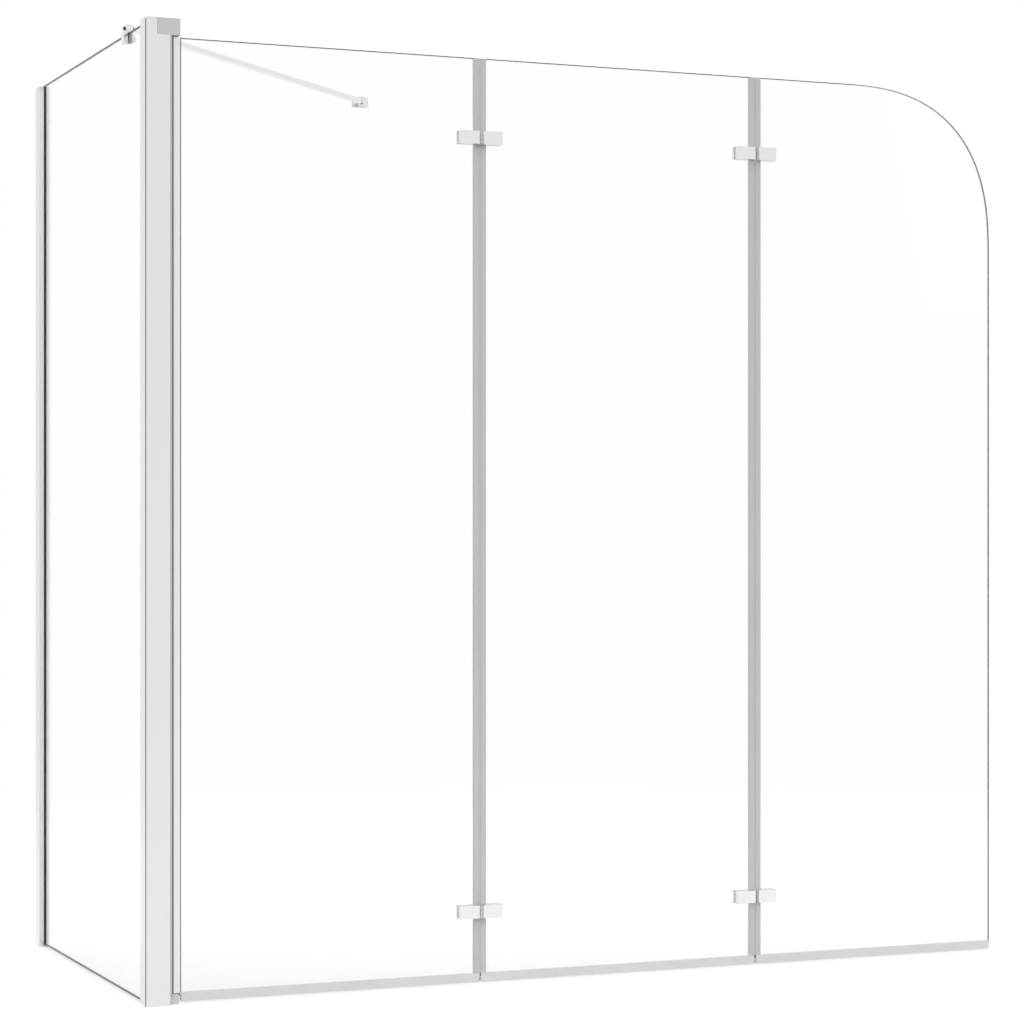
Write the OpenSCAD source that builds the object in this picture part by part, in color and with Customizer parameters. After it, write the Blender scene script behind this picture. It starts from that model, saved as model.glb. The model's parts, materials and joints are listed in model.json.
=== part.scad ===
// Folding bath enclosure: fixed glass side panel, corner post and three hinged panes.
// X runs along the front, Y runs back to the wall and Z is up. The origin lies at the
// centre of the footprint, on the rim of the bath.

/* [Enclosure] */
// From the left face of the post to the first folding seam
pane_1_w = 473; // [300:1:600]
// From the first folding seam to the second
pane_2_w = 423; // [200:1:550]
// From the second folding seam to the free edge
pane_3_w = 389; // [300:1:550]
// From the front of the post to the wall
screen_d = 640; // [500:1:900]
// Height of the corner post and of the wall profile
screen_h = 1300; // [1000:1:1600]

/* [Glass] */
// Thickness of the folding panes
glass_t = 5; // [4:0.5:6]
// Thickness of the fixed side pane
side_t = 5; // [4:0.5:6]
// Height of the folding panes above the rim
pane_lift = 10; // [8:0.5:20]
// Drop from the post's top to the top edge of the folding panes
pane_drop = 23; // [23:0.5:60]
// Height of the side pane above the rim
side_lift = 3; // [2:0.5:15]
// Drop from the post's top to the top edge of the side pane
side_drop = 5; // [5:0.5:20]
// Reach of the rounded corner along both edges of the last pane
corner_reach = 240; // [60:5:280]
// Fullness of the rounded corner, where 2 is a plain quarter circle
corner_power = 2.56; // [2:0.02:3.5]

/* [Corner post] */
// Width of the post along the front
post_w = 33; // [32:0.5:50]
// Depth of the post
post_d = 31; // [31:0.5:50]
// Wall of the post
post_wall = 1.6; // [1.2:0.1:2]
// Solid wall beside the pivot
pivot_wall = 3.6; // [3:0.1:5]
// Depth of the slot for the side pane
post_slot = 14; // [10:0.5:14]
// Thickness of the glazing gaskets of the side pane
gasket_t = 1.4; // [1:0.1:2]
// Outer radius of the screw ports
port_r = 3.2; // [2.8:0.1:3.6]
// Bore radius of the screw ports
port_bore_r = 1.9; // [1.6:0.1:2.2]
// Distance of the screw ports from the post's right face
port_inset_x = 6.4; // [6:0.1:7]
// Distance of the screw ports from the post's front and back
port_inset_y = 4.6; // [4.2:0.1:5]
// Thickness of the post's top cap
cap_t = 2.5; // [1.5:0.1:4]
// Depth of the cap's plug
plug_h = 9; // [4:0.5:14]
// Width of the grey carrier of the cover seal
carrier_w = 1.6; // [1:0.1:2]
// Thickness of the grey carrier of the cover seal
carrier_t = 1.4; // [1:0.1:2]
// Reach of the dark lip of the cover seal over the pivot gap
cover_reach = 4.4; // [2.5:0.1:4.4]
// Thickness of the dark lip of the cover seal
cover_t = 0.8; // [0.6:0.1:1.2]

/* [Pivot] */
// From the post's right face to the pivot axis
pivot_reach = 7.4; // [7.4:0.1:9]
// Radius of the round back of the pivot profile
pivot_r = 8.2; // [7.6:0.1:8.4]
// Half width of the jaws that hold the glass
jaw_half = 7; // [6.4:0.1:7]
// From the pivot axis to the end of the jaws
jaw_reach = 7.8; // [7.4:0.1:8.6]
// From the pivot axis to the bottom of the glass slot
jaw_slot = 2.6; // [2.4:0.1:3]
// Thickness of the gaskets in the jaws
jaw_gasket_t = 1.2; // [0.8:0.1:1.6]
// How far the gaskets stand out of the jaws
jaw_lip = 2; // [0.3:0.1:2.5]
// Radius of the pivot pins
pin_r = 2; // [1.5:0.1:2.1]
// Length of a pivot pin inside the profile
pin_grip = 30; // [15:1:60]
// Length of a pivot pin inside its block
pin_out = 12; // [8:0.5:13]
// Outer radius of the pivot bushes
bush_r = 4.2; // [3.6:0.1:4.6]
// Flange radius of the pivot bushes
flange_r = 5.4; // [5.4:0.1:6.4]
// Flange thickness of the pivot bushes
flange_t = 0.7; // [0.5:0.1:1]
// Height of the head block
head_h = 22; // [18:0.5:30]
// Left edge of the head block
head_x = 15; // [12:0.5:16]
// From the pivot axis to the right end of the head block
head_over = 5.6; // [5.6:0.1:7.4]
// Height of the foot block
foot_h = 14; // [14:0.5:20]
// Nose radius of the foot block
nose_r = 7.3; // [6.6:0.1:7.4]
// Width of the foot block's tongue inside the post
tongue_w = 10; // [7:0.5:12]
// Left end of the foot block's tongue
foot_tongue_x = 14; // [13:0.5:20]
// Place of the foot block's screw along the tongue
foot_screw_x = 20; // [19:0.5:24]
// Shank radius of the screws in the head and foot blocks
block_screw_r = 2.1; // [2:0.1:2.4]
// Head radius of the screws in the head and foot blocks
block_head_r = 3.8; // [3.2:0.1:4]
// Depth of the screws below the head block
head_screw_grip = 16; // [8:1:40]

/* [Wall profile] */
// From the middle of the side pane to the outer face of the wall channel
channel_out = 10.5; // [9.5:0.1:14]
// From the middle of the side pane to the inner face of the wall channel
channel_in = 7.5; // [7.3:0.1:12]
// Height of the wall profile's foot above the rim
profile_lift = 3; // [0:0.5:10]
// Drop from the post's top to the top of the wall profile
profile_drop = 7; // [3:0.5:20]
// Depth of the wall channel
channel_d = 26; // [24:0.5:36]
// Wall of the channel
channel_wall = 1.5; // [1.2:0.1:2]
// Thickness of the side profile's front lips
lip_t = 2; // [1.5:0.1:3]
// Depth of the side profile behind its lips
profile_d = 12; // [10:0.5:13]
// Radius of the wall screw holes
wall_hole_r = 3; // [2.5:0.1:3.5]
// Height of the lowest wall screw hole, and drop of the highest from the post's top
wall_hole_inset = 100; // [60:5:200]
// Number of wall screw holes
wall_holes = 3; // [2:1:5]
// Height of the lowest lock screw
lock_low = 60; // [30:5:120]
// Shank radius of the lock screws
lock_r = 1.9; // [1.5:0.1:2.2]
// Head radius of the lock screws
lock_head_r = 3.4; // [3:0.1:4]
// Head height of the lock screws
lock_head_h = 1.8; // [1.2:0.1:2.4]

/* [Seals] */
// Width of a seam seal along the pane
seal_w = 8.6; // [6:0.1:14]
// Wall of the seam seals
seal_wall = 1; // [0.8:0.1:1.5]
// Thickness of a seam seal beyond the glass edge
seal_web = 1.6; // [1.2:0.1:2.4]
// Gap between the two seals of a seam
seam_gap = 0.6; // [0.6:0.1:1.2]
// How far a glazing gasket stands out of its slot
gasket_lip = 0.6; // [0.3:0.1:1.5]
// Height of the bottom seals
sill_h = 12.5; // [11:0.5:20]
// Gap below the bottom seals
sill_gap = 2.5; // [1:0.5:4]
// Wall of the bottom seals
sill_wall = 1.2; // [1:0.1:1.6]
// Reach of the drip fin behind the glass
fin_reach = 4; // [3:0.5:5]
// Distance of the bottom seals from a seam
sill_inset = 1.6; // [1:0.1:4]
// Distance of the last bottom seal from the free edge
sill_end = 0.5; // [0:0.1:4]

/* [Hinges] */
// Width of a hinge plate
plate_w = 28.5; // [24:0.5:40]
// Height of a hinge plate
plate_h = 18; // [16:0.5:30]
// Thickness of a hinge plate
plate_t = 7; // [6:0.1:9]
// Gap between the two plates of a hinge
plate_gap = 5.4; // [5.4:0.1:7]
// Thickness of the pads between plate and glass
pad_t = 1; // [0.5:0.1:1.5]
// Rounding of a plate's outer corner
plate_round = 1; // [0.5:0.1:3]
// Wall left in front of a hinge screw's blind hole
plate_skin = 1.6; // [1:0.1:2.5]
// Radius of the knuckles
knuckle_r = 2.4; // [2.2:0.1:2.4]
// Radius of the hinge pins
hinge_pin_r = 1.25; // [1:0.05:1.4]
// Distance of a hinge pin in front of its plates
pin_stand = 0.4; // [0.3:0.1:0.8]
// Height of the lower hinges
low_hinge = 100; // [60:1:250]
// Distance of the upper hinges from the post's top
high_hinge = 133; // [80:1:300]
// Radius of the holes in the glass
glass_hole_r = 5; // [4:0.1:7]
// Shank radius of the hinge screws
screw_r = 2.4; // [2:0.1:2.8]
// Head radius of the hinge screws
screw_head_r = 4.6; // [4.2:0.1:5]

/* [Stay bar] */
// Distance of the clamp from the front of the post
clamp_y = 113; // [60:0.5:300]
// Length of the clamp along the glass
clamp_l = 16; // [14:0.5:40]
// Height of the clamp's jaws below the top of the glass
clamp_h = 14; // [12:0.5:30]
// Rounding of the clamp's lower corners
jaw_round = 3; // [1:0.1:4]
// Margin of the pads and the plate inside the clamp
clamp_edge = 1.5; // [1:0.1:3]
// Thickness of the clamp's bridge over the glass
bridge_t = 1.4; // [1.4:0.1:4]
// Thickness of the outer jaw
outer_jaw = 5; // [4:0.5:9]
// Thickness of the inner jaw
inner_jaw = 3; // [3:0.5:8]
// Thickness of the pressure plate
press_t = 2.5; // [1:0.1:3]
// Shank radius of the clamp screw
clamp_screw_r = 2.5; // [2:0.1:3]
// Head radius of the clamp screw
clamp_head_r = 4.2; // [3.6:0.1:5]
// Head height of the clamp screw
clamp_head_h = 3; // [3:0.1:6]
// Outer radius of the stay bar
bar_r = 4.7; // [4:0.1:7]
// Wall of the stay bar
bar_wall = 1.3; // [1:0.1:1.6]
// Radius of the swivel head on the clamp
yoke_r = 5.6; // [5.6:0.1:8]
// Radius of the bar's spigot in the swivel head
spigot_r = 2.6; // [2:0.1:3]
// How far the spigot passes the middle of the swivel head
spigot_back = 1.5; // [1:0.1:3]
// Thickness of the shoulders at the bar's ends
shoulder_t = 1.5; // [1:0.1:3]
// Length of the plugs inside the bar
plug_l = 25; // [10:1:60]
// Radius of the set screw in the swivel head
grub_r = 1.5; // [1.2:0.1:2]
// Head radius of the set screw
grub_head_r = 2.4; // [2.2:0.1:3]
// Head height of the set screw
grub_head_h = 2; // [2:0.1:4]
// From the middle of the swivel head to the set screw's tip
grub_tip = 4.4; // [4.2:0.1:5]
// Height of the swivel pin inside the swivel head
yoke_pin_h = 1.8; // [1:0.1:1.8]
// Where the bar meets the wall, from the post's left face
bar_wall_x = 509; // [300:1:700]
// Width of the wall flange
flange_w = 26; // [24:0.5:40]
// Height of the wall flange
flange_h = 16; // [14:0.5:16]
// Thickness of the wall flange
flange_plate_t = 4; // [3:0.1:5]
// Spacing of the flange's screw holes
flange_pitch = 18.6; // [18:0.1:26]
// Radius of the flange's screw holes
flange_hole_r = 2.1; // [1.8:0.1:2.2]
// From the wall to the flange's swivel pin
flange_pin_y = 13; // [12:0.5:20]
// Radius of the swivel pins
swivel_r = 2; // [1.5:0.1:2.2]
// Radius of the bar's eye
tongue_r = 5; // [4.5:0.1:5.4]
// Radius of the flange's ears
ear_r = 5.5; // [5:0.1:6]
// Width of the rim on the flange's pin
pin_rim = 1.2; // [0.8:0.1:2]
// Thickness of the rim on the flange's pin
rim_t = 0.7; // [0.4:0.1:0.9]
// From the eye's round end to the bar's shoulder
eye_neck = 4; // [1:0.5:8]
// How far the flange plate stands past its ears, above and below
ear_margin = 1; // [0.8:0.1:1.6]

/* [Clearances] */
// Gap between pieces that are assembled together
fit = 0.3; // [0.2:0.05:0.4]
// Radial clearance of a pin in its bore
run_fit = 0.05; // [0.02:0.01:0.1]

/* [Hidden] */
$fn = 64;
tiny = 0.01;
// Steps along the rounded corner
corner_steps = 32;
// Depth and half width of the screwdriver recesses
recess_d = 1;
recess_w = 0.5;

// Colours, as the object shows them
bright = [0.86, 0.87, 0.88];
mould = [0.74, 0.75, 0.76];
rubber = [0.22, 0.22, 0.23];
clear = [0.8, 0.88, 0.87, 0.35];
vinyl = [0.78, 0.79, 0.79];
steel = [0.66, 0.67, 0.69];
black = [0.06, 0.06, 0.07];

// Places along the front
screen_w = pane_1_w + pane_2_w + pane_3_w;
seams = [pane_1_w, pane_1_w + pane_2_w];
pivot_x = post_w + pivot_reach;
pivot_y = post_d / 2;
glass_back = pivot_y + glass_t / 2;
seam_edge = seam_gap / 2 + seal_web;

// Heights of the folding panes
pane_top = screen_h - pane_drop;
head_z = screen_h - head_h;
profile_low = foot_h + flange_t + fit;
profile_high = head_z - flange_t - fit;
sill_top = sill_gap + sill_h;
hinge_z = [low_hinge, screen_h - high_hinge];

// The side pane and its slots
side_x = post_wall + gasket_t;
side_mid = side_x + side_t / 2;
slot_half = side_t / 2 + gasket_t;
side_top = screen_h - side_drop;
slot_y = post_d - post_slot;
side_y = slot_y + gasket_t;
channel_y = screen_d - channel_d;
profile_back = channel_y + profile_d;
side_end = profile_back - channel_wall - gasket_t;
lip_y = channel_y - lip_t;
channel_left = side_mid - channel_out;
channel_right = side_mid + channel_in;
channel_mid = (channel_left + channel_right) / 2;
sleeve = channel_wall + fit;
profile_top = screen_h - profile_drop;

// The post's chambers
chamber_right = post_w - pivot_wall;
chamber_back = slot_y - post_wall;
slot_right = side_mid + slot_half + post_wall;
port_x = post_w - port_inset_x;
ports_y = [port_inset_y, post_d - port_inset_y];

// Screws of the wall channel
wall_hole_pitch = (screen_h - 2 * wall_hole_inset) / (wall_holes - 1);
lock_z = [lock_low, screen_h / 2, screen_h - lock_low];
lock_y = channel_y + profile_d / 2;

// Hinge plates, measured out from the glass
plate_out = pad_t + plate_t;
pin_off = glass_t / 2 + plate_out + pin_stand;
plate_mid = plate_gap / 2 + plate_w / 2;
head_cone = screw_head_r - screw_r;
block_cone = block_head_r - block_screw_r;
knuckle_h = (plate_h - 2 * fit) / 3;

// The stay bar runs level from the clamp to the wall
clamp_back = side_mid + side_t / 2 + pad_t;
inner_x = clamp_back + press_t + fit;
clamp_screw_z = side_top - clamp_h / 2;
bar_z = side_top + fit + bridge_t + fit + bar_r;
flange_y = screen_d - flange_pin_y;
bar_run_x = bar_wall_x - side_mid;
bar_run_y = flange_y - clamp_y;
bar_angle = atan2(bar_run_y, bar_run_x);
bar_run = norm([bar_run_x, bar_run_y]);
bar_start = yoke_r + fit;
tongue_half = bar_r - bar_wall - fit;
bar_end = bar_run - tongue_r - eye_neck;
ear_t = flange_h / 2 - tongue_half - fit - ear_margin;

// The footprint is centred on the origin
left_reach = max(-channel_left, outer_jaw + pad_t - side_x);
origin_x = (screen_w - left_reach) / 2;
origin_y = screen_d / 2;

// Moves a piece from the post's front left corner to the part's own frame
module place() {
    translate([-origin_x, -origin_y, 0]) children();
}

// A block given by its lowest and highest corners
module block(low, high) {
    translate(low) cube(high - low);
}

// A cylinder along X
module rod_x(r, x0, x1) {
    translate([x0, 0, 0]) rotate([0, 90, 0]) cylinder(r = r, h = x1 - x0);
}

// A cylinder along Y
module rod_y(r, y0, y1) {
    translate([0, y0, 0]) rotate([-90, 0, 0]) cylinder(r = r, h = y1 - y0);
}

// A cylinder along Z
module rod_z(r, z0, z1) {
    translate([0, 0, z0]) cylinder(r = r, h = z1 - z0);
}

// An outline in the X and Y plane, raised between two heights
module raised(z0, z1) {
    translate([0, 0, z0]) linear_extrude(height = z1 - z0) children();
}

// A rectangle given by its lowest and highest corners
module panel(low, high) {
    translate(low) square(high - low);
}

// A rectangle from the origin whose two far corners are rounded
module eased(w, d, r) {
    panel([0, 0], [w, d - r]);
    panel([r, 0], [w - r, d]);
    for (x = [r, w - r]) translate([x, d - r]) circle(r = r);
}

// An outline in the X and Z plane, raised to the thickness of the folding panes
module pane_slab() {
    translate([0, glass_back, 0]) rotate([90, 0, 0]) linear_extrude(height = glass_t) children();
}

// The two gasket strips that hold the side pane in a slot
module slot_gaskets(y0, y1, top) {
    block([side_mid - slot_half, y0, side_lift], [side_x, y1, top]);
    block([side_x + side_t, y0, side_lift], [side_mid + slot_half, y1, top]);
}

// Two crossed slots for a screwdriver in a head that faces +X
module cross_recess(x, r) {
    for (turn = [0, 90]) rotate([turn, 0, 0])
        block([x - recess_d, -r, -recess_w], [x + tiny, r, recess_w]);
}

// Wall profile

module channel_section() {
    difference() {
        panel([channel_left, channel_y], [channel_right, screen_d]);
        panel([channel_left + channel_wall, channel_y - tiny],
              [channel_right - channel_wall, screen_d - channel_wall]);
    }
}

module wall_channel() {
    color(bright) place() difference() {
        raised(profile_lift, profile_top - cap_t) channel_section();
        for (i = [0 : wall_holes - 1])
            translate([channel_mid, 0, wall_hole_inset + i * wall_hole_pitch])
                rod_y(wall_hole_r, screen_d - 2 * channel_wall, screen_d + tiny);
        for (z = lock_z) translate([0, lock_y, z])
            rod_x(lock_r + run_fit, channel_right - 2 * channel_wall, channel_right + tiny);
    }
}

module side_profile() {
    color(bright) place() difference() {
        raised(profile_lift, profile_top) difference() {
            union() {
                panel([channel_left, lip_y], [channel_right, channel_y]);
                panel([channel_left + sleeve, lip_y], [channel_right - sleeve, profile_back]);
            }
            panel([side_mid - slot_half, lip_y - tiny],
                  [side_mid + slot_half, profile_back - channel_wall]);
            panel([channel_left + sleeve + channel_wall, channel_y],
                  [side_mid - slot_half - channel_wall, profile_back - channel_wall]);
        }
        for (z = lock_z) translate([0, lock_y, z]) rod_x(lock_r + run_fit, side_mid, channel_right);
    }
}

// Cap on the wall channel, notched for the side profile, with a plug behind it
module channel_cap() {
    base = profile_top - cap_t;
    color(bright) place() {
        difference() {
            block([channel_left, channel_y, base], [channel_right, screen_d, profile_top]);
            block([channel_left + channel_wall, channel_y - tiny, base - tiny],
                  [channel_right - channel_wall, profile_back + fit, profile_top + tiny]);
        }
        block([channel_left + sleeve, profile_back + fit, base - plug_h],
              [channel_right - sleeve, screen_d - sleeve, base + tiny]);
    }
}

module channel_screws() {
    color(steel) place() for (z = lock_z) translate([0, lock_y, z]) difference() {
        union() {
            rod_x(lock_r, side_mid + slot_half + fit, channel_right + tiny);
            rod_x(lock_head_r, channel_right, channel_right + lock_head_h);
        }
        cross_recess(channel_right + lock_head_h, lock_r);
    }
}

module side_gaskets() {
    color(rubber) place() slot_gaskets(lip_y - gasket_lip, side_end, profile_top);
}

module setting_blocks() {
    half = slot_half - fit;
    color(mould) place() {
        block([side_mid - half, slot_y + fit, 0], [side_mid + half, post_d, side_lift]);
        block([side_mid - half, lip_y, 0],
              [side_mid + half, profile_back - channel_wall - fit, side_lift]);
    }
}

module side_glass() {
    color(clear) place() block([side_x, side_y, side_lift], [side_x + side_t, side_end, side_top]);
}

// Corner post

module post_section() {
    difference() {
        panel([0, 0], [post_w, post_d]);
        difference() {
            union() {
                panel([post_wall, post_wall], [chamber_right, chamber_back]);
                panel([slot_right, post_wall], [chamber_right, post_d - post_wall]);
            }
            for (y = ports_y) translate([port_x, y]) circle(r = port_r);
        }
        panel([side_mid - slot_half, slot_y], [side_mid + slot_half, post_d + tiny]);
        translate([pivot_x, pivot_y]) circle(r = pivot_r + fit);
        for (y = ports_y) translate([port_x, y]) circle(r = port_bore_r);
    }
}

module corner_post() {
    color(bright) place() difference() {
        raised(0, screen_h - cap_t) post_section();
        block([head_x, -tiny, head_z], [post_w + tiny, post_d + tiny, screen_h]);
        block([chamber_right - tiny, pivot_y - tongue_w / 2 - fit, -tiny],
              [post_w + tiny, pivot_y + tongue_w / 2 + fit, foot_h + fit]);
        translate([foot_screw_x, 0, foot_h / 2])
            rod_y(block_screw_r + run_fit, post_d - 2 * post_wall, post_d + tiny);
    }
}

module post_gaskets() {
    color(rubber) place() slot_gaskets(side_y, post_d + gasket_lip, side_top);
}

// Cover seal over the pivot gap: a grey carrier beside the post's face and a dark lip behind it
module post_seal() {
    color(vinyl) place() raised(sill_top + fit, head_z) {
        panel([post_w, 0], [post_w + carrier_w, carrier_t]);
        panel([post_w, carrier_t - tiny], [post_w + cover_reach, carrier_t + cover_t]);
    }
}

module post_cap() {
    base = screen_h - cap_t;
    color(bright) place() {
        block([0, 0, base], [head_x, post_d, screen_h]);
        block([post_wall + fit, post_wall + fit, base - plug_h],
              [head_x - fit, chamber_back - fit, base + tiny]);
    }
}

module head_block() {
    color(mould) place() difference() {
        block([head_x + fit, 0, head_z], [pivot_x + head_over, post_d, screen_h]);
        translate([pivot_x, pivot_y, 0])
            rod_z(bush_r + run_fit, head_z - tiny, head_z + pin_out + fit);
        for (y = ports_y) translate([port_x, y, 0]) {
            rod_z(block_screw_r + run_fit, head_z - tiny, screen_h + tiny);
            translate([0, 0, screen_h - block_cone])
                cylinder(r1 = block_screw_r, r2 = block_head_r, h = block_cone + tiny);
        }
    }
}

module foot_block() {
    color(mould) place() difference() {
        union() {
            block([foot_tongue_x, pivot_y - tongue_w / 2, 0],
                  [post_w + tiny, pivot_y + tongue_w / 2, foot_h]);
            block([post_w, pivot_y - nose_r, 0], [pivot_x, pivot_y + nose_r, foot_h]);
            translate([pivot_x, pivot_y, 0]) rod_z(nose_r, 0, foot_h);
        }
        translate([pivot_x, pivot_y, 0])
            rod_z(bush_r + run_fit, foot_h - pin_out - fit, foot_h + tiny);
        translate([foot_screw_x, 0, foot_h / 2])
            rod_y(block_screw_r + run_fit, pivot_y - tongue_w, pivot_y + tongue_w);
    }
}

// A flanged bush that stands on the origin with its flange below
module bush() {
    difference() {
        union() {
            rod_z(flange_r, -flange_t, 0);
            rod_z(bush_r, -tiny, pin_out + fit);
        }
        rod_z(pin_r + run_fit, -flange_t - tiny, pin_out + 2 * fit);
    }
}

module pivot_bushes() {
    color(mould) place() {
        translate([pivot_x, pivot_y, head_z]) bush();
        translate([pivot_x, pivot_y, foot_h]) mirror([0, 0, 1]) bush();
    }
}

module block_screws() {
    color(steel) place() {
        for (y = ports_y) translate([port_x, y, 0]) difference() {
            union() {
                rod_z(port_bore_r - run_fit, head_z - head_screw_grip, screen_h - block_cone);
                translate([0, 0, screen_h - block_cone])
                    cylinder(r1 = block_screw_r - run_fit, r2 = block_head_r - run_fit, h = block_cone);
            }
            translate([0, 0, screen_h]) rotate([0, -90, 0]) cross_recess(0, block_screw_r);
        }
        translate([foot_screw_x, 0, foot_h / 2]) {
            rod_y(block_screw_r, pivot_y - tongue_w / 2 + fit, post_d + tiny);
            rod_y(block_head_r, post_d, post_d + lock_head_h);
        }
    }
}

// Stay bar

module clamp_body() {
    x0 = side_x - pad_t - outer_jaw;
    x1 = inner_x + inner_jaw;
    z0 = side_top - clamp_h;
    z1 = side_top + fit;
    color(bright) place() translate([0, clamp_y, 0]) difference() {
        translate([x0, clamp_l / 2, z1 + bridge_t]) rotate([90, 0, 0]) mirror([0, 1, 0])
            linear_extrude(height = clamp_l) eased(x1 - x0, z1 + bridge_t - z0, jaw_round);
        block([side_x - pad_t, -clamp_l, z0 - tiny], [inner_x, clamp_l, z1]);
        translate([side_mid, 0, 0]) rod_z(swivel_r + run_fit, z1 - tiny, z1 + bridge_t + tiny);
        translate([0, 0, clamp_screw_z]) rod_x(clamp_screw_r + run_fit, inner_x - tiny, x1 + tiny);
    }
}

// A pad or plate that lies in the clamp between two planes
module clamp_sheet(x0, x1) {
    half = clamp_l / 2 - clamp_edge;
    block([x0, clamp_y - half, side_top - clamp_h + clamp_edge], [x1, clamp_y + half, side_top - tiny]);
}

module clamp_plate() {
    color(black) place() clamp_sheet(clamp_back, clamp_back + press_t);
}

module clamp_pads() {
    color(vinyl) place() {
        clamp_sheet(side_x - pad_t, side_x);
        clamp_sheet(side_x + side_t, clamp_back);
    }
}

// A hexagon socket in a head whose face lies at x
module hex_recess(x, r) {
    translate([x - recess_d, 0, 0]) rotate([0, 90, 0]) cylinder(r = r, h = recess_d + tiny, $fn = 6);
}

module clamp_screw() {
    x1 = inner_x + inner_jaw;
    color(steel) place() translate([0, clamp_y, clamp_screw_z]) difference() {
        union() {
            rod_x(clamp_screw_r, clamp_back + press_t, x1 + tiny);
            rod_x(clamp_head_r, x1, x1 + clamp_head_h);
        }
        hex_recess(x1 + clamp_head_h, clamp_screw_r);
    }
}

// Local frame of the swivel head, on the centre line of the bar
module at_yoke() {
    translate([side_mid, clamp_y, bar_z]) children();
}

// Local frame of the bar, with X along it
module along_bar() {
    at_yoke() rotate([0, 0, bar_angle]) children();
}

module bar_yoke() {
    low = side_top + fit + bridge_t - bar_z;
    color(bright) place() difference() {
        at_yoke() rod_z(yoke_r, low, bar_r);
        at_yoke() rod_z(swivel_r + run_fit, low - tiny, low + yoke_pin_h + fit);
        along_bar() rod_x(spigot_r + run_fit, -spigot_back - fit, 2 * yoke_r);
        at_yoke() rod_x(grub_r + run_fit, -2 * yoke_r, 0);
    }
}

module yoke_screw() {
    color(black) place() at_yoke() difference() {
        union() {
            rod_x(grub_r, -yoke_r, -grub_tip);
            rod_x(grub_head_r, -yoke_r - grub_head_h, -yoke_r + tiny);
        }
        mirror([1, 0, 0]) hex_recess(yoke_r + grub_head_h, grub_r - recess_w);
    }
}

module bar_plug() {
    core = bar_r - bar_wall - run_fit;
    color(bright) place() along_bar() {
        rod_x(spigot_r, -spigot_back, bar_start + tiny);
        rod_x(bar_r, bar_start, bar_start + shoulder_t);
        rod_x(core, bar_start, bar_start + shoulder_t + plug_l);
    }
}

module stay_bar() {
    x0 = bar_start + shoulder_t;
    x1 = bar_end - shoulder_t;
    color(bright) place() along_bar() difference() {
        rod_x(bar_r, x0, x1);
        rod_x(bar_r - bar_wall, x0 - tiny, x1 + tiny);
    }
}

module bar_eye() {
    core = bar_r - bar_wall - run_fit;
    color(bright) place() along_bar() difference() {
        union() {
            rod_x(core, bar_end - shoulder_t - plug_l, bar_end);
            rod_x(bar_r, bar_end - shoulder_t, bar_end);
            block([bar_end - tiny, -tongue_r, -tongue_half], [bar_run, tongue_r, tongue_half]);
            translate([bar_run, 0, 0]) rod_z(tongue_r, -tongue_half, tongue_half);
        }
        translate([bar_run, 0, 0]) rod_z(swivel_r + run_fit, -bar_r, bar_r);
    }
}

module bar_pins() {
    low = side_top + fit + bridge_t - bar_z;
    ear_top = tongue_half + fit + ear_t;
    color(steel) place() {
        at_yoke() rod_z(swivel_r, low - bridge_t, low + yoke_pin_h);
        translate([bar_wall_x, flange_y, bar_z]) {
            rod_z(swivel_r, -ear_top, ear_top + tiny);
            rod_z(swivel_r + pin_rim, ear_top, ear_top + rim_t);
        }
    }
}

module wall_flange() {
    gap = tongue_half + fit;
    half = [flange_w / 2, flange_h / 2];
    color(bright) place() translate([bar_wall_x, 0, bar_z]) difference() {
        union() {
            block([-half[0], screen_d - flange_plate_t, -half[1]], [half[0], screen_d, half[1]]);
            for (low = [gap, -gap - ear_t]) {
                translate([0, flange_y, 0]) rod_z(ear_r, low, low + ear_t);
                block([-ear_r, flange_y, low], [ear_r, screen_d - flange_plate_t + tiny, low + ear_t]);
            }
        }
        translate([0, flange_y, 0]) rod_z(swivel_r + run_fit, -flange_h, flange_h);
        for (side = [-1, 1]) translate([side * flange_pitch / 2, 0, 0])
            rod_y(flange_hole_r, screen_d - 2 * flange_plate_t, screen_d + tiny);
    }
}

// Folding panes

// Local frame of the pivot axis
module at_pivot() {
    translate([pivot_x, pivot_y, 0]) children();
}

module pivot_profile() {
    slot = glass_t / 2 + jaw_gasket_t;
    color(bright) place() at_pivot() raised(profile_low, profile_high) difference() {
        union() {
            circle(r = pivot_r);
            panel([0, -jaw_half], [jaw_reach, jaw_half]);
        }
        circle(r = pin_r + run_fit);
        panel([jaw_slot, -slot], [2 * pivot_r, slot]);
    }
}

module pivot_gaskets() {
    color(rubber) place() at_pivot() raised(profile_low, profile_high)
        for (side = [0, 1]) mirror([0, side])
            panel([jaw_slot + fit, glass_t / 2], [jaw_reach + jaw_lip, glass_t / 2 + jaw_gasket_t]);
}

module pivot_pins() {
    color(steel) place() at_pivot() {
        rod_z(pin_r, profile_high - pin_grip, head_z + pin_out);
        rod_z(pin_r, foot_h - pin_out, profile_low + pin_grip);
    }
}

// Holes for the hinge screws beside a seam, on its left side for -1 and its right side for 1
module screw_holes(seam, side) {
    for (z = hinge_z) translate([seam + side * plate_mid, z]) circle(r = glass_hole_r);
}

module glass_1() {
    x0 = pivot_x + jaw_slot + fit;
    x1 = seams[0] - seam_edge;
    color(clear) place() pane_slab() difference() {
        panel([x0, pane_lift], [x1, pane_top]);
        panel([x0 - tiny, pane_lift - tiny], [pivot_x + jaw_reach + fit, profile_low]);
        screw_holes(seams[0], -1);
    }
}

module glass_2() {
    color(clear) place() pane_slab() difference() {
        panel([seams[0] + seam_edge, pane_lift], [seams[1] - seam_edge, pane_top]);
        screw_holes(seams[0], 1);
        screw_holes(seams[1], -1);
    }
}

// Point of the rounded corner at an angle above its centre
function corner_point(a) = corner_reach * [pow(cos(a), 2 / corner_power), pow(sin(a), 2 / corner_power)];

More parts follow.
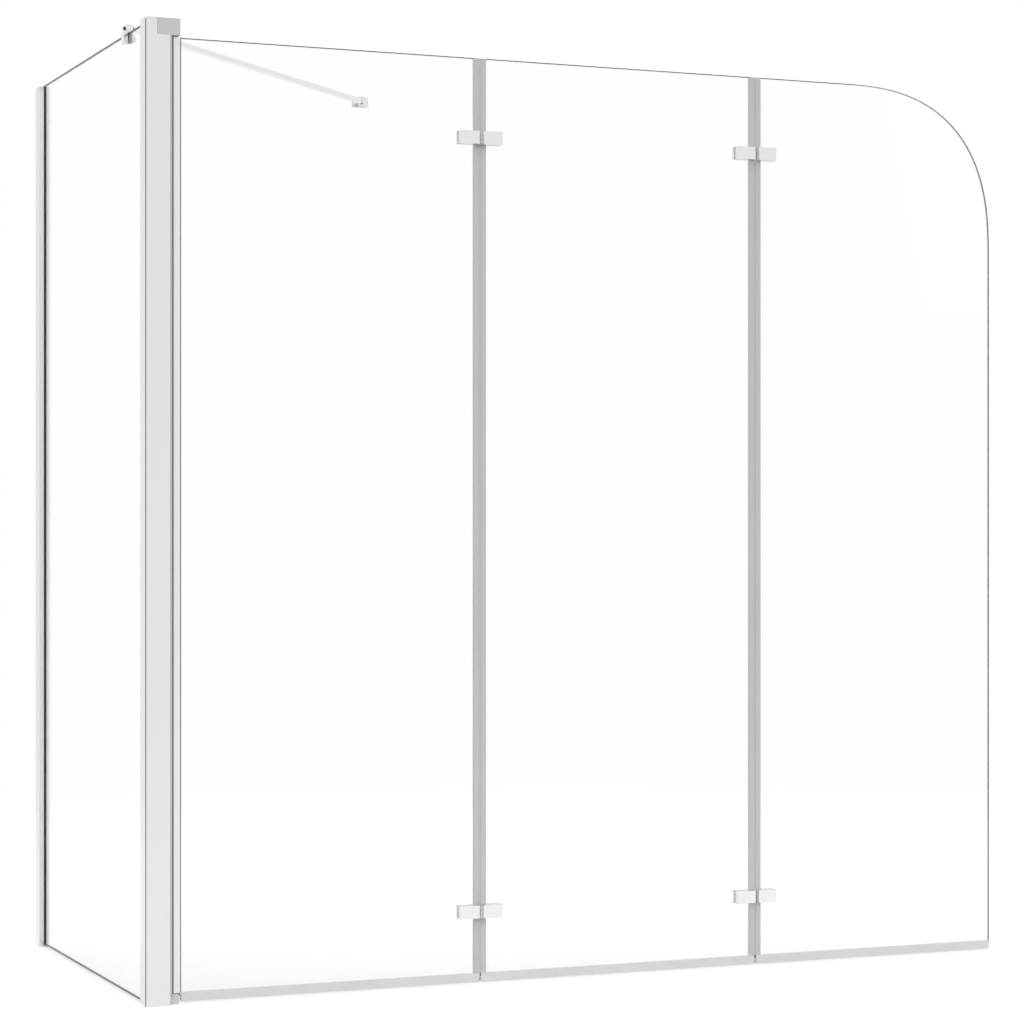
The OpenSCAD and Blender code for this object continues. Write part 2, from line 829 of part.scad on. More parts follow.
module glass_3() {
    x0 = seams[1] + seam_edge;
    centre = [screen_w - corner_reach, pane_top - corner_reach];
    corner = [for (i = [0 : corner_steps]) centre + corner_point(90 * i / corner_steps)];
    color(clear) place() pane_slab() difference() {
        polygon(concat([[x0, pane_top], [x0, pane_lift], [screen_w, pane_lift]], corner));
        screw_holes(seams[1], 1);
    }
}

// Bottom seal: a front skirt, a rear leg, a web under the glass and a drip fin behind
module sill_section() {
    g = glass_t / 2;
    web = pane_lift - tiny;
    panel([-g - sill_wall, sill_gap], [-g, sill_top]);
    panel([g, web - sill_wall], [g + sill_wall, sill_top]);
    panel([-g - sill_wall, web - sill_wall], [g + sill_wall, web]);
    polygon([
        [g, web], [g + fin_reach - sill_wall, sill_gap],
        [g + fin_reach, sill_gap], [g + sill_wall, web]
    ]);
}

module sill(x0, x1) {
    translate([x0, pivot_y, 0]) rotate([90, 0, 90]) linear_extrude(height = x1 - x0) sill_section();
}

module bottom_seal_1() {
    color(vinyl) place() sill(pivot_x + jaw_reach + jaw_lip + fit, seams[0] - sill_inset);
}

module bottom_seal_2() {
    color(vinyl) place() sill(seams[0] + sill_inset, seams[1] - sill_inset);
}

module bottom_seal_3() {
    color(vinyl) place() sill(seams[1] + sill_inset, screen_w - sill_end);
}

// Seam seal on one side of a seam: a web along the edge of the glass, and flanges in three
// lengths that leave room for the hinges
module seam_seal(seam, side) {
    g = glass_t / 2;
    half = plate_h / 2 + fit;
    lows = [sill_top + fit, hinge_z[0] + half, hinge_z[1] + half];
    highs = [hinge_z[0] - half, hinge_z[1] - half, pane_top - fit];
    translate([seam, pivot_y, 0]) mirror([side < 0 ? 1 : 0, 0, 0]) {
        raised(lows[0], highs[2]) panel([seam_gap / 2, -g], [seam_edge, g]);
        for (i = [0 : 2]) raised(lows[i], highs[i]) {
            panel([seam_gap / 2, -g - seal_wall], [seam_edge, g + seal_wall]);
            for (flip = [0, 1]) mirror([0, flip])
                panel([seam_gap / 2, g], [seam_gap / 2 + seal_w, g + seal_wall]);
        }
    }
}

module seam_seal_1a() { color(vinyl) place() seam_seal(seams[0], -1); }
module seam_seal_1b() { color(vinyl) place() seam_seal(seams[0], 1); }
module seam_seal_2a() { color(vinyl) place() seam_seal(seams[1], -1); }
module seam_seal_2b() { color(vinyl) place() seam_seal(seams[1], 1); }

// Hinges. Each one is drawn to the right of the seam with its plate in front of the glass,
// and then mirrored to the left side or to the back.

// Local frame of a hinge at a seam, on the middle plane of the glass
module at_hinge(seam, z, side, front) {
    translate([seam, pivot_y, z])
        mirror([side < 0 ? 1 : 0, 0, 0]) mirror([0, front ? 0 : 1, 0]) children();
}

// A plate in front of the glass, with its outer corner rounded
module plate_blank() {
    g = glass_t / 2;
    translate([plate_gap / 2, -g - pad_t, 0]) mirror([0, 1, 0]) raised(-plate_h / 2, plate_h / 2) {
        panel([0, 0], [plate_w - plate_round, plate_t]);
        panel([0, 0], [plate_w, plate_t - plate_round]);
        translate([plate_w - plate_round, plate_t - plate_round]) circle(r = plate_round);
    }
}

// Plate with a threaded blind hole for the end of the hinge screw
module threaded_plate() {
    y1 = -glass_t / 2 - pad_t;
    difference() {
        plate_blank();
        translate([plate_mid, 0, 0])
            rod_y(screw_r + run_fit, y1 - plate_t + plate_skin, y1 + tiny);
    }
}

// Plate with a countersunk hole for the head of the hinge screw
module sunk_plate() {
    y0 = -glass_t / 2 - plate_out;
    difference() {
        plate_blank();
        translate([plate_mid, 0, 0]) rod_y(screw_r + run_fit, y0 - tiny, y0 + plate_t + tiny);
        translate([plate_mid, y0 - tiny, 0]) rotate([-90, 0, 0])
            cylinder(r1 = screw_head_r, r2 = screw_r, h = head_cone + tiny);
    }
}

// The knuckles between the plates: the outer two on the left leaf, the middle one on the right
module knuckles(side) {
    step = knuckle_h + fit;
    levels = side < 0 ? [-step, step] : [0];
    for (z = levels) translate([0, -pin_off, z]) difference() {
        union() {
            rod_z(knuckle_r, -knuckle_h / 2, knuckle_h / 2);
            block([0, 0, -knuckle_h / 2], [plate_gap / 2 + tiny, knuckle_r + pin_stand, knuckle_h / 2]);
        }
        rod_z(hinge_pin_r + run_fit, -knuckle_h, knuckle_h);
    }
}

// The leaf of a hinge that folds forward, with its screw head at the back
module front_leaf(seam, z, side) {
    color(bright) place() at_hinge(seam, z, side, true) {
        threaded_plate();
        knuckles(side);
    }
}

// The leaf of a hinge that folds backward
module rear_leaf(seam, z, side) {
    color(bright) place() at_hinge(seam, z, side, false) {
        sunk_plate();
        knuckles(side);
    }
}

module hinge_1a_lower() { front_leaf(seams[0], hinge_z[0], -1); }
module hinge_1a_upper() { front_leaf(seams[0], hinge_z[1], -1); }
module hinge_1b_lower() { front_leaf(seams[0], hinge_z[0], 1); }
module hinge_1b_upper() { front_leaf(seams[0], hinge_z[1], 1); }
module hinge_2a_lower() { rear_leaf(seams[1], hinge_z[0], -1); }
module hinge_2a_upper() { rear_leaf(seams[1], hinge_z[1], -1); }
module hinge_2b_lower() { rear_leaf(seams[1], hinge_z[0], 1); }
module hinge_2b_upper() { rear_leaf(seams[1], hinge_z[1], 1); }

// The pair of covers on the face away from the knuckles
module rear_covers(seam, side) {
    color(bright) place() for (z = hinge_z) at_hinge(seam, z, side, false) sunk_plate();
}

module front_covers(seam, side) {
    color(bright) place() for (z = hinge_z) at_hinge(seam, z, side, true) threaded_plate();
}

module cover_1a() { rear_covers(seams[0], -1); }
module cover_1b() { rear_covers(seams[0], 1); }
module cover_2a() { front_covers(seams[1], -1); }
module cover_2b() { front_covers(seams[1], 1); }

module hinge_pins(seam, front) {
    half = plate_h / 2 - fit;
    color(steel) place() for (z = hinge_z) at_hinge(seam, z, 1, front)
        translate([0, -pin_off, 0]) rod_z(hinge_pin_r, -half, half);
}

module hinge_1_pins() { hinge_pins(seams[0], true); }
module hinge_2_pins() { hinge_pins(seams[1], false); }

// Pads on both faces of the glass, the front one with a sleeve through the hole in the glass
module pads(seam, side) {
    g = glass_t / 2;
    for (z = hinge_z) at_hinge(seam, z, side, true) difference() {
        union() {
            for (y = [-g - pad_t, g])
                block([plate_gap / 2, y, -plate_h / 2], [plate_gap / 2 + plate_w, y + pad_t, plate_h / 2]);
            translate([plate_mid, 0, 0]) rod_y(glass_hole_r - fit, -g - tiny, g - fit);
        }
        translate([plate_mid, 0, 0]) rod_y(screw_r + run_fit, -pin_off, pin_off);
    }
}

module hinge_pads_1() { color(vinyl) place() pads(seams[0], -1); }
module hinge_pads_2() {
    color(vinyl) place() {
        pads(seams[0], 1);
        pads(seams[1], -1);
    }
}
module hinge_pads_3() { color(vinyl) place() pads(seams[1], 1); }

// Countersunk screws whose heads lie at the back
module screws(seam, side) {
    g = glass_t / 2;
    back = g + plate_out;
    for (z = hinge_z) at_hinge(seam, z, side, true) translate([plate_mid, 0, 0]) difference() {
        union() {
            rod_y(screw_r, -g - plate_out + plate_skin + fit, back - head_cone + tiny);
            translate([0, back - head_cone, 0]) rotate([-90, 0, 0])
                cylinder(r1 = screw_r - run_fit, r2 = screw_head_r - run_fit, h = head_cone);
        }
        translate([0, back - recess_d, 0]) rotate([-90, 0, 0])
            cylinder(r = screw_r - recess_w, h = recess_d + tiny, $fn = 6);
    }
}

module hinge_screws_1() { color(steel) place() screws(seams[0], -1); }
module hinge_screws_2() {
    color(steel) place() {
        screws(seams[0], 1);
        screws(seams[1], -1);
    }
}
module hinge_screws_3() { color(steel) place() screws(seams[1], 1); }

wall_channel();
side_profile();
channel_cap();
channel_screws();
side_gaskets();
setting_blocks();
side_glass();
corner_post();
post_gaskets();
post_seal();
post_cap();
head_block();
foot_block();
pivot_bushes();
block_screws();
clamp_body();
clamp_plate();
clamp_pads();
clamp_screw();
bar_yoke();
yoke_screw();
bar_plug();
stay_bar();
bar_eye();
bar_pins();
wall_flange();
pivot_profile();
pivot_gaskets();
pivot_pins();
glass_1();
bottom_seal_1();
seam_seal_1a();
hinge_1a_upper();
hinge_1a_lower();
cover_1a();
hinge_1_pins();
hinge_pads_1();
hinge_screws_1();
glass_2();
bottom_seal_2();
seam_seal_1b();
seam_seal_2a();
hinge_1b_upper();
hinge_1b_lower();
cover_1b();
hinge_2a_upper();
hinge_2a_lower();
cover_2a();
hinge_2_pins();
hinge_pads_2();
hinge_screws_2();
glass_3();
bottom_seal_3();
seam_seal_2b();
hinge_2b_upper();
hinge_2b_lower();
cover_2b();
hinge_pads_3();
hinge_screws_3();
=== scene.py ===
"""Dresses the folding bath enclosure: finishes, studio and camera."""
import json
import math

import bpy
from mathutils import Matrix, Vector


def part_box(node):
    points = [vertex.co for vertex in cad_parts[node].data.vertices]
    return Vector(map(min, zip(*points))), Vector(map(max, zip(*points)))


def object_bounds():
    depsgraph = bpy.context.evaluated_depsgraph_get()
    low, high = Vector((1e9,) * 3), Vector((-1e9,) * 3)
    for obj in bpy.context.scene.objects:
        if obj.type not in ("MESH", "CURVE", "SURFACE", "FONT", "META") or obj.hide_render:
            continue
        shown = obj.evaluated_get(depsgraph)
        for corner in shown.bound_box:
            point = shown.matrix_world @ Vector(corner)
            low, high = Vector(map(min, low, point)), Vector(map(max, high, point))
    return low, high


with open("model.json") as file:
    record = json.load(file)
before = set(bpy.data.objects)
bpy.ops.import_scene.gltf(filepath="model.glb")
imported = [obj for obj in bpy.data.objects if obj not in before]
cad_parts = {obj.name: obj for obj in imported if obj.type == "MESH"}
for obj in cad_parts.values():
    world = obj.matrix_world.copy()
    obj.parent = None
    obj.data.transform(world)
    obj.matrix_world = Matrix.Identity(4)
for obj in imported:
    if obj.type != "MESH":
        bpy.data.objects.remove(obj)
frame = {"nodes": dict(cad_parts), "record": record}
cad_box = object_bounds()
nodes = frame["nodes"]

MM = 0.001
X, Y, Z = 0, 1, 2
WHITE = (1, 1, 1)
BLACK = (0, 0, 0)

# Camera, in pixels of the picture: its focal length, the row of the horizon and the column
# straight ahead of it
PICTURE = 1024
FOCAL = 2930.9
HORIZON = 531.6
MIDDLE = 614.0

# Width of the camera's sensor in millimetres, and the nearest and farthest it sees in metres
SENSOR = 36.0
CLIP_START = 0.05
CLIP_END = 200

# Front left corner of the post at the rim, and the camera's place from there, in metres
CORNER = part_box("corner_post")[0]
CAMERA_PLACE = CORNER + Vector((-0.97525, -3.76874, 0.62399))
CAMERA_TURN = math.radians(23.577)

# Strength of the white surroundings, at which they show as plain white
WORLD_LIGHT = 1.0

# Floor: its own glow, its colour and its size, and where it starts to fade to plain white and
# over what length
FLOOR_GLOW = 0.55
FLOOR_TONE = (0.5, 0.5, 0.5)
FLOOR_SIZE = 60.0
FADE_START = 1.6
FADE_LENGTH = 1.4

# Rays that show the floor's glow
SEEN_RAYS = ("Is Camera Ray", "Is Glossy Ray", "Is Transmission Ray")

# Lamps: name, place, point they face, size and power
LAMPS = (
    ("key", (-3.4, -4.2, 4.2), (0, 0, 0.6), (6.0, 5.0), 110),
    ("fill", (4.4, -3.2, 3.2), (0, 0, 0.6), (5.0, 4.0), 52),
    ("back", (0.5, 4.6, 3.8), (0, 0, 0.7), (5.0, 3.0), 40),
)

# Sockets of the Mix node that hold colours
MIX_LOW = 6
MIX_HIGH = 7
MIX_RESULT = 2

# Radius by which an edge looks eased, and how far a normal turns there before a mask starts and
# over what turn it fills
EDGE_ROUND = 0.7 * MM
TURN_START = 0.02
TURN_WIDTH = 0.2
BEVEL_SAMPLES = 4

# Softness of a mask's border, and the margins by which a mask takes in a face or stops short of it
SOFT = 0.02 * MM
TAKE_IN = 0.1 * MM
STOP_SHORT = 0.05 * MM

# Post: painted shade in a dark line behind its left front corner and a grey strip at its right one
SHADE_LINE_REACH = 5.5 * MM
SHADE_STRIP_REACH = 0.9 * MM

# Chrome: the gaps that get painted shade, how much open air a face with painted shade has, and
# the reach of the knuckles between the hinge plates, which get painted shade too
GAP = 5 * MM
SHADE_START = 0.25
SHADE_WIDTH = 0.7
SHADE_SAMPLES = 6
KNUCKLE_REACH = 2.6 * MM
HINGE_REACH = 40 * MM

# Depth of the hard carrier of the post's cover seal
CARRIER_DEPTH = 1.0 * MM

# Glass: its ground edge all round, and the rim at the top and bottom of the panes, both painted near
# black as shade
ARRIS = 2.8 * MM
RIM_SHADE = 0.6 * MM
SIDE_RIM_SHADE = 2.4 * MM

# Bending of light in glass and in vinyl
CLEAR_IOR = 1.5

# Colours of the finishes
ALUMINIUM = (0.785, 0.795, 0.805)
CHROME = (0.775, 0.785, 0.795)
STEEL = (0.58, 0.59, 0.60)
RUBBER = (0.035, 0.036, 0.038)
SCREW_BLACK = (0.012, 0.012, 0.014)
HEAD_GREY = (0.6, 0.61, 0.62)
# The foot's grey is lighter than the head's: painted light that offsets the shade under the pivot
# profile
FOOT_PAINTED_LIGHT_GREY = (0.66, 0.67, 0.68)
BUSH_WHITE = (0.66, 0.66, 0.64)
CARRIER_GREY = (0.53, 0.54, 0.545)
LIP_AND_GAP_SHADE_GREY = (0.2, 0.205, 0.21)
SEAM_VINYL = (0.56, 0.57, 0.575)
SILL_VINYL = (0.71, 0.72, 0.725)
CLEAR_GLASS = (0.985, 0.99, 0.988)
# Near black: the ground edges painted as shade, for the dark line that light makes at a glass edge
GROUND_EDGE_SHADE = (0.045, 0.052, 0.05)

# Share of its finish's colour that a feature with painted shade keeps, and of the vinyl's that its
# painted glow has
PROFILE_EDGE_SHADE = 0.85
POST_STRIP_SHADE = 0.72
POST_LINE_SHADE = 0.15
CHROME_EDGE_SHADE = 0.65
CHROME_GAP_SHADE = 0.65
KNUCKLE_SHADE = 0.62
VINYL_EDGE_SHADE = 0.6
VINYL_PAINTED_GLOW = 0.5


class Wire:
    """A socket of a finish's nodes, on which sums are written as Python expressions."""

    def __init__(self, finish, socket):
        self.finish = finish
        self.socket = socket

    def math_node(self, operation, *values):
        return self.finish.node("ShaderNodeMath", {"operation": operation}, dict(enumerate(values)))

    def __add__(self, other):
        return self.math_node("ADD", self, other)

    def __radd__(self, other):
        return self.math_node("ADD", other, self)

    def __sub__(self, other):
        return self.math_node("SUBTRACT", self, other)

    def __rsub__(self, other):
        return self.math_node("SUBTRACT", other, self)

    def __mul__(self, other):
        return self.math_node("MULTIPLY", self, other)

    def __rmul__(self, other):
        return self.math_node("MULTIPLY", other, self)

    def __abs__(self):
        return self.math_node("ABSOLUTE", self)

    def most(self, other):
        """The higher of the two values."""
        return self.math_node("MAXIMUM", self, other)

    def above(self, edge, width):
        """0 below edge and 1 above edge + width, with a soft step between them."""
        step = {"interpolation_type": "SMOOTHSTEP"}
        limits = {"Value": self, "From Min": edge, "From Max": edge + width}
        return self.finish.node("ShaderNodeMapRange", step, limits)


class Finish:
    """A material built from nodes around one Principled shader.

    The colour, roughness and metallic that it starts with are its plain values, which hold
    wherever no node feeds them.
    """

    def __init__(self, name, colour, roughness, metallic=0.0, **constants):
        self.material = bpy.data.materials.new(name)
        self.material.use_nodes = True
        self.tree = self.material.node_tree
        self.shader = self.tree.nodes["Principled BSDF"]
        self.shader.inputs["Base Color"].default_value = (*colour, 1)
        self.shader.inputs["Roughness"].default_value = roughness
        self.shader.inputs["Metallic"].default_value = metallic
        for socket, value in constants.items():
            self.shader.inputs[socket.replace("_", " ")].default_value = value

    def node(self, kind, settings=None, values=None, output=0):
        """Adds a node, sets it up, feeds its sockets and returns one of its outputs."""
        made = self.tree.nodes.new(kind)
        for name, value in (settings or {}).items():
            setattr(made, name, value)
        for socket, value in (values or {}).items():
            if isinstance(value, Wire):
                self.link(value, made.inputs[socket])
            else:
                made.inputs[socket].default_value = value
        return Wire(self, made.outputs[output])

    def link(self, wire, socket):
        self.tree.links.new(wire.socket, socket)

    def feed(self, socket, wire):
        """Links a wire to a socket of the Principled shader."""
        self.link(wire, self.shader.inputs[socket])

    def place(self):
        """Position on the piece, which moves with it."""
        return self.node("ShaderNodeTexCoord", output="Object")

    def parts(self, vector):
        """The X, Y and Z of a vector."""
        split = self.node("ShaderNodeSeparateXYZ", {}, {0: vector}).socket.node
        return [Wire(self, socket) for socket in split.outputs]

    def noise(self, scale, detail=3.0, stretch=(1, 1, 1)):
        """Noise from 0 to 1, with lumps of 1 / scale metres, longer where stretch is under 1."""
        stretched = {0: self.place(), 1: stretch}
        place = self.node("ShaderNodeVectorMath", {"operation": "MULTIPLY"}, stretched)
        return self.node("ShaderNodeTexNoise", {}, {"Vector": place, "Scale": scale, "Detail": detail})

    def mix(self, mask, low, high):
        """The colour low where the mask is 0 and high where it is 1."""
        low, high = [c if isinstance(c, Wire) else (*c, 1) for c in (low, high)]
        sockets = {0: mask, MIX_LOW: low, MIX_HIGH: high}
        return self.node("ShaderNodeMix", {"data_type": "RGBA"}, sockets, MIX_RESULT)

    def varied(self, mask, colour, low, high):
        """A colour times low where the mask is 0 and times high where it is 1."""
        return self.mix(mask, shade(colour, low), shade(colour, high))

    def rounded(self, radius=EDGE_ROUND):
        """Normal of the surface with its edges eased."""
        return self.node("ShaderNodeBevel", {"samples": BEVEL_SAMPLES}, {"Radius": radius})

    def edges(self, radius=EDGE_ROUND):
        """1 along sharp edges and 0 on the faces between them."""
        flat = self.node("ShaderNodeNewGeometry", output="Normal")
        both = {0: flat, 1: self.rounded(radius)}
        straight = self.node("ShaderNodeVectorMath", {"operation": "DOT_PRODUCT"}, both, "Value")
        return (1 - straight).above(TURN_START, TURN_WIDTH)

    def near(self, value, middle, reach):
        """1 where the value lies within reach of the middle, and 0 beyond."""
        return 1 - abs(value - middle).above(reach, SOFT)

    def between(self, value, low, high):
        """1 where the value lies from low to high, and 0 beyond."""
        return self.near(value, (low + high) / 2, (high - low) / 2)

    def open_air(self, distance):
        """1 on open faces, and less in gaps and corners within that distance."""
        settings = {"samples": SHADE_SAMPLES}
        return self.node("ShaderNodeAmbientOcclusion", settings, {"Distance": distance}, "AO")

    def seen_directly(self):
        """1 for what the camera, a reflection or the glass shows, 0 for light on the object."""
        camera, glossy, through = [self.node("ShaderNodeLightPath", output=ray) for ray in SEEN_RAYS]
        return camera.most(glossy).most(through)

    def bump(self, height, distance, strength, normal=None):
        """Raises the surface by a height from 0 to 1, on top of another normal where one is given."""
        values = {"Height": height, "Distance": distance, "Strength": strength}
        if normal:
            values["Normal"] = normal
        self.feed("Normal", self.node("ShaderNodeBump", {}, values))


def shade(colour, factor):
    return tuple(min(c * factor, 1.0) for c in colour)


def drawn_aluminium(name):
    """Bright anodised aluminium with fine die lines, and the colour of its faces."""
    finish = Finish(name, ALUMINIUM, roughness=0.34, metallic=1.0)
    lines = finish.noise(1500, detail=2, stretch=(1, 1, 0.004))
    cloud = finish.noise(9, detail=2, stretch=(1, 1, 0.3))
    finish.feed("Roughness", 0.28 + 0.09 * lines + 0.05 * cloud)
    finish.bump(lines, 0.02 * MM, strength=0.35, normal=finish.rounded())
    return finish, finish.varied(0.65 * lines + 0.35 * cloud, ALUMINIUM, 0.95, 1.05)


def extrusion_finish():
    """Aluminium of the profiles, with painted shade along its edges."""
    finish, face = drawn_aluminium("bright_aluminium")
    # Painted shade: the edges are darkened for the dark reflection of a rounded corner
    finish.feed("Base Color", finish.mix(finish.edges(), face, shade(ALUMINIUM, PROFILE_EDGE_SHADE)))
    return finish.material


def post_finish():
    """Aluminium of the post, with painted shade in a dark line and a greyer strip along its front
    corners.
    """
    finish, face = drawn_aluminium("post_aluminium")
    low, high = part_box("corner_post")
    x, y, _ = finish.parts(finish.place())
    # Painted shade: a dark line of shade and reflection along the left front corner, a grey strip of
    # shade at the right one
    line = finish.near(x, low.x, TAKE_IN) * finish.near(y, low.y, SHADE_LINE_REACH)
    strip = finish.near(x, high.x, SHADE_STRIP_REACH) * finish.near(y, low.y, TAKE_IN)
    face = finish.mix(strip, face, shade(ALUMINIUM, POST_STRIP_SHADE))
    finish.feed("Base Color", finish.mix(line, face, shade(ALUMINIUM, POST_LINE_SHADE)))
    return finish.material


def chrome_finish():
    """Chrome plate with a trace of handling, and painted shade in gaps, on edges and on knuckles."""
    finish = Finish("polished_chrome", CHROME, roughness=0.14, metallic=1.0)
    smear = finish.noise(60, detail=4)
    grain = finish.noise(900, detail=2)
    bright = finish.varied(smear, CHROME, 0.96, 1.04)
    # Painted shade where a face has little open air, in gaps and corners
    free_of_painted_shade = finish.open_air(GAP).above(SHADE_START, SHADE_WIDTH)
    face = finish.mix(free_of_painted_shade, shade(CHROME, CHROME_GAP_SHADE), bright)
    x, y, _ = finish.parts(finish.place())
    # Painted shade on the hinge knuckles between the plates
    for pins in ("hinge_1_pins", "hinge_2_pins"):
        low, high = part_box(pins)
        middle = (low + high) / 2
        knuckle_shade_mask = finish.near(x, middle.x, KNUCKLE_REACH) * finish.near(y, middle.y, HINGE_REACH)
        face = finish.mix(knuckle_shade_mask, face, shade(CHROME, KNUCKLE_SHADE))
    # Painted shade along the edges
    finish.feed("Base Color", finish.mix(finish.edges(), face, shade(CHROME, CHROME_EDGE_SHADE)))
    finish.feed("Roughness", 0.1 + 0.1 * smear + 0.03 * grain)
    finish.bump(grain, 0.01 * MM, strength=0.25, normal=finish.rounded())
    return finish.material


def steel_finish():
    """Turned stainless steel."""
    finish = Finish("stainless_steel", STEEL, roughness=0.32, metallic=1.0)
    turned = finish.noise(1200, detail=2, stretch=(1, 1, 0.08))
    finish.feed("Base Color", finish.varied(turned, STEEL, 0.9, 1.08))
    finish.feed("Roughness", 0.24 + 0.16 * turned)
    finish.bump(turned, 0.02 * MM, strength=0.4)
    return finish.material


def moulding_finish(name, tone):
    """Pale moulded plastic with a spark-eroded grain."""
    finish = Finish(name, tone, roughness=0.5)
    grain = finish.noise(1800)
    flow = finish.noise(35, detail=2)
    finish.feed("Base Color", finish.varied(flow, tone, 0.96, 1.04))
    finish.feed("Roughness", 0.42 + 0.14 * grain)
    finish.bump(grain, 0.04 * MM, strength=0.6)
    return finish.material


def rubber_finish():
    """Dark glazing rubber."""
    finish = Finish("dark_gasket", RUBBER, roughness=0.7)
    grain = finish.noise(900, stretch=(1, 1, 0.1))
    finish.feed("Base Color", finish.varied(grain, RUBBER, 0.75, 1.4))
    finish.feed("Roughness", 0.6 + 0.2 * grain)
    finish.bump(grain, 0.05 * MM, strength=0.6)
    return finish.material


def screw_finish():
    """Blackened steel."""
    finish = Finish("black_screw", SCREW_BLACK, roughness=0.4)
    grain = finish.noise(1400)
    finish.feed("Base Color", finish.varied(grain, SCREW_BLACK, 0.7, 1.4))
    finish.feed("Roughness", 0.34 + 0.12 * grain)
    finish.bump(grain, 0.03 * MM, strength=0.5)
    return finish.material


def cover_finish():
    """The post's cover seal: a hard grey carrier in front and a soft dark lip behind it, whose dark
    grey is partly its rubber and partly painted shade of the gap beside it.
    """
    finish = Finish("cover_seal", CARRIER_GREY, roughness=0.5)
    depth = finish.parts(finish.place())[Y] - CORNER.y
    grain = finish.noise(900, stretch=(1, 1, 0.1))
    carrier = finish.varied(grain, CARRIER_GREY, 0.96, 1.04)
    # The lip's dark grey is partly its rubber and partly painted shade of the gap beside the pivot
    # profile
    lip = finish.varied(grain, LIP_AND_GAP_SHADE_GREY, 0.85, 1.15)
    finish.feed("Base Color", finish.mix(depth.above(CARRIER_DEPTH, TAKE_IN), carrier, lip))
    finish.feed("Roughness", 0.45 + 0.15 * grain)
    finish.bump(grain, 0.04 * MM, strength=0.5)
    return finish.material


def vinyl_finish(name, tone):
    """Soft translucent vinyl, drawn out along its length, with a painted glow where it holds the glass
    and painted shade along its edges.
    """
    finish = Finish(name, tone, roughness=0.3, IOR=CLEAR_IOR, Emission_Strength=1.0)
    low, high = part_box("glass_1")
    depth = finish.parts(finish.place())[Y]
    # Painted light: the faces against the glass glow, standing for light that the glass carries to
    # them
    painted_glow_mask = finish.between(depth, low.y - TAKE_IN, high.y + TAKE_IN)
    finish.feed("Emission Color", finish.mix(painted_glow_mask, BLACK, shade(tone, VINYL_PAINTED_GLOW)))
    drawn = finish.noise(700, detail=2, stretch=(0.15, 1, 0.02))
    cloud = finish.noise(14, detail=2)
    face = finish.varied(0.5 * drawn + 0.5 * cloud, tone, 0.94, 1.06)
    # Painted shade along the edges
    finish.feed("Base Color", finish.mix(finish.edges(), face, shade(tone, VINYL_EDGE_SHADE)))
    finish.feed("Roughness", 0.24 + 0.14 * drawn)
    finish.feed("Alpha", 0.86 + 0.08 * cloud)
    finish.bump(drawn, 0.03 * MM, strength=0.4)
    return finish.material


def glass_finish(name, pane, facing, rim_width):
    """Clear toughened glass, with its ground edges and a rim at its top and bottom painted near black
    as shade. facing is the axis that the pane faces.
    """
    finish = Finish(name, CLEAR_GLASS, roughness=0.0, IOR=CLEAR_IOR, Transmission_Weight=1.0)
    finish.feed("Base Color", finish.varied(finish.noise(3, detail=2), CLEAR_GLASS, 0.995, 1.0))
    low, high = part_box(pane)
    place = finish.parts(finish.place())
    cut = finish.between(place[facing], low[facing] + STOP_SHORT, high[facing] - STOP_SHORT)
    # Painted shade: a dark rim at the top and bottom of the pane
    painted_rim = 1 - finish.between(place[Z], low.z + rim_width, high.z - rim_width)
    ground_and_shade = finish.varied(finish.noise(2500), GROUND_EDGE_SHADE, 0.85, 1.15)
    clear = Wire(finish, finish.shader.outputs["BSDF"])
    ground = finish.node("ShaderNodeBsdfPrincipled", {}, {"Base Color": ground_and_shade, "Roughness": 0.35})
    shaders = {0: cut + painted_rim + finish.edges(ARRIS), 1: clear, 2: ground}
    blend = finish.node("ShaderNodeMixShader", {}, shaders)
    finish.link(blend, finish.tree.nodes["Material Output"].inputs["Surface"])
    return finish.material


def dress():
    """Gives every piece its own finish, or else the one of its material slot."""
    of_slot = {
        "bright_aluminium": extrusion_finish(),
        "polished_chrome": chrome_finish(),
        "stainless_steel": steel_finish(),
        "grey_moulding": moulding_finish("grey_moulding", HEAD_GREY),
        "dark_gasket": rubber_finish(),
        "white_bush": moulding_finish("white_bush", BUSH_WHITE),
        "black_screw": screw_finish(),
        "clear_vinyl": vinyl_finish("clear_vinyl", SEAM_VINYL),
        "clear_glass": glass_finish("clear_glass", "glass_1", Y, RIM_SHADE),
    }
    sill = vinyl_finish("clear_sill", SILL_VINYL)
    own = {
        "side_glass": glass_finish("side_glass", "side_glass", X, SIDE_RIM_SHADE),
        "corner_post": post_finish(),
        "post_seal": cover_finish(),
        # The foot takes a lighter copy of the grey moulding: painted light against the shade under the
        # pivot profile
        "foot_block": moulding_finish("foot_moulding_painted_light", FOOT_PAINTED_LIGHT_GREY),
        "bottom_seal_1": sill,
        "bottom_seal_2": sill,
        "bottom_seal_3": sill,
    }
    for part in frame["record"]["subparts"]:
        name = part["node"]
        materials = nodes[name].data.materials
        materials.clear()
        materials.append(own.get(name, of_slot[part["material_slot"]]))


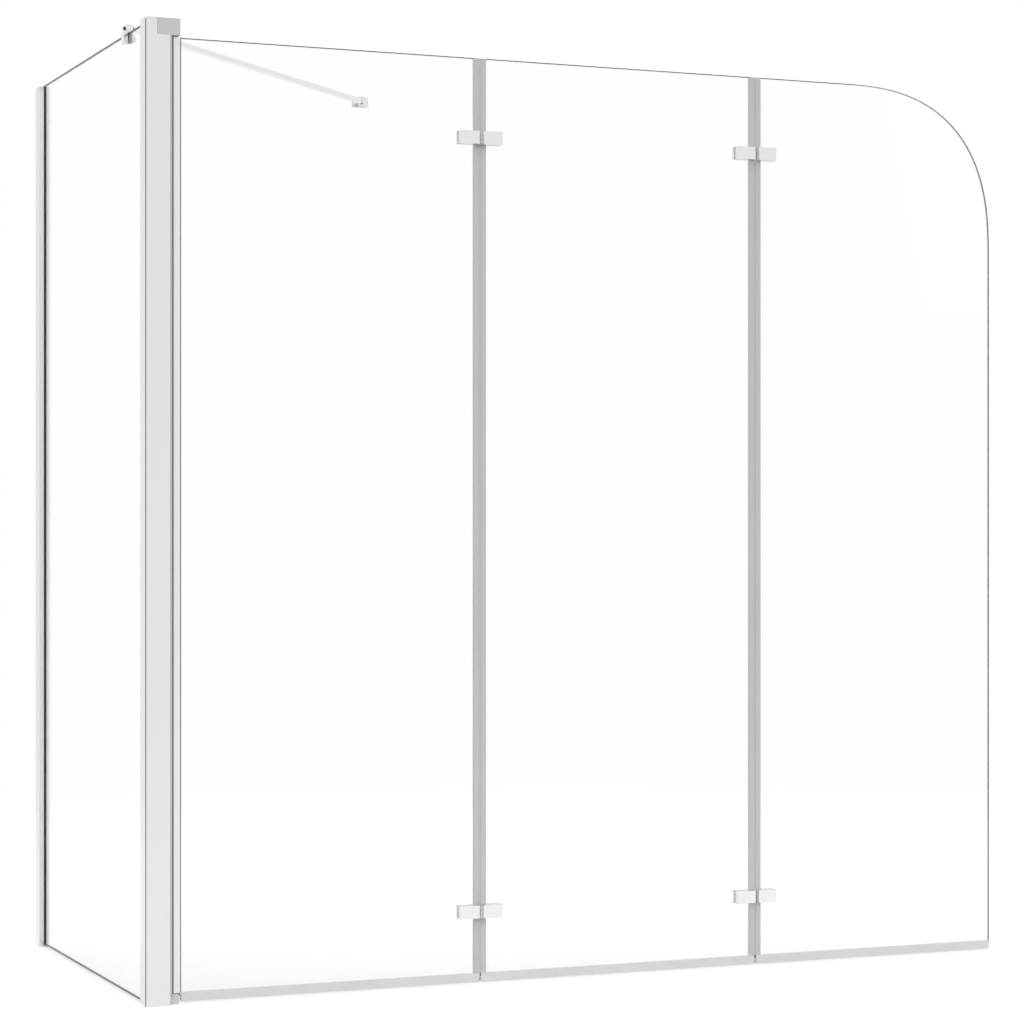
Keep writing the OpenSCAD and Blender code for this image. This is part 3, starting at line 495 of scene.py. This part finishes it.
def aim_camera():
    """The camera at the photograph's place, level and with its vertical lines upright."""
    camera = bpy.data.cameras.new("camera")
    camera.sensor_width = SENSOR
    camera.lens = FOCAL / PICTURE * SENSOR
    camera.shift_x = (PICTURE / 2 - MIDDLE) / PICTURE
    camera.shift_y = (HORIZON - PICTURE / 2) / PICTURE
    camera.clip_start = CLIP_START
    camera.clip_end = CLIP_END
    seen = bpy.data.objects.new("camera", camera)
    seen.location = CAMERA_PLACE
    seen.rotation_euler = (math.radians(90), 0, -CAMERA_TURN)
    bpy.context.scene.collection.objects.link(seen)
    bpy.context.scene.camera = seen


def light_world():
    """White surroundings, which also light the object."""
    world = bpy.data.worlds.new("studio")
    world.use_nodes = True
    background = world.node_tree.nodes["Background"]
    background.inputs["Color"].default_value = (*WHITE, 1)
    background.inputs["Strength"].default_value = WORLD_LIGHT
    bpy.context.scene.world = world


def lay_floor():
    """A plain white floor that keeps the shadow of the object."""
    half = FLOOR_SIZE / 2
    corners = [(-half, -half, 0), (half, -half, 0), (half, half, 0), (-half, half, 0)]
    mesh = bpy.data.meshes.new("floor")
    mesh.from_pydata(corners, [], [(0, 1, 2, 3)])
    floor = bpy.data.objects.new("floor", mesh)
    floor.location = (0, 0, cad_box[0][Z])
    bpy.context.scene.collection.objects.link(floor)
    finish = Finish("floor", FLOOR_TONE, roughness=1.0, Specular_IOR_Level=0.0, Emission_Strength=1.0)
    length = {"operation": "LENGTH"}
    away = finish.node("ShaderNodeVectorMath", length, {0: finish.place()}, "Value")
    far = away.above(FADE_START, FADE_LENGTH)
    finish.feed("Base Color", finish.mix(far, FLOOR_TONE, BLACK))
    glow = finish.seen_directly() * (FLOOR_GLOW + (1 - FLOOR_GLOW) * far)
    finish.feed("Emission Color", finish.mix(glow, BLACK, WHITE))
    mesh.materials.append(finish.material)


def hang_lamp(name, place, target, size, power):
    """A soft box that faces the target and shows in no reflection."""
    lamp = bpy.data.lights.new(name, "AREA")
    lamp.shape = "RECTANGLE"
    lamp.size, lamp.size_y = size
    lamp.energy = power
    hung = bpy.data.objects.new(name, lamp)
    hung.location = place
    hung.visible_glossy = False
    hung.rotation_euler = (Vector(target) - Vector(place)).to_track_quat("-Z", "Y").to_euler()
    bpy.context.scene.collection.objects.link(hung)


aim_camera()
light_world()
for lamp_sizes in LAMPS:
    hang_lamp(*lamp_sizes)
lay_floor()
dress()
bpy.context.scene.view_settings.view_transform = "Standard"
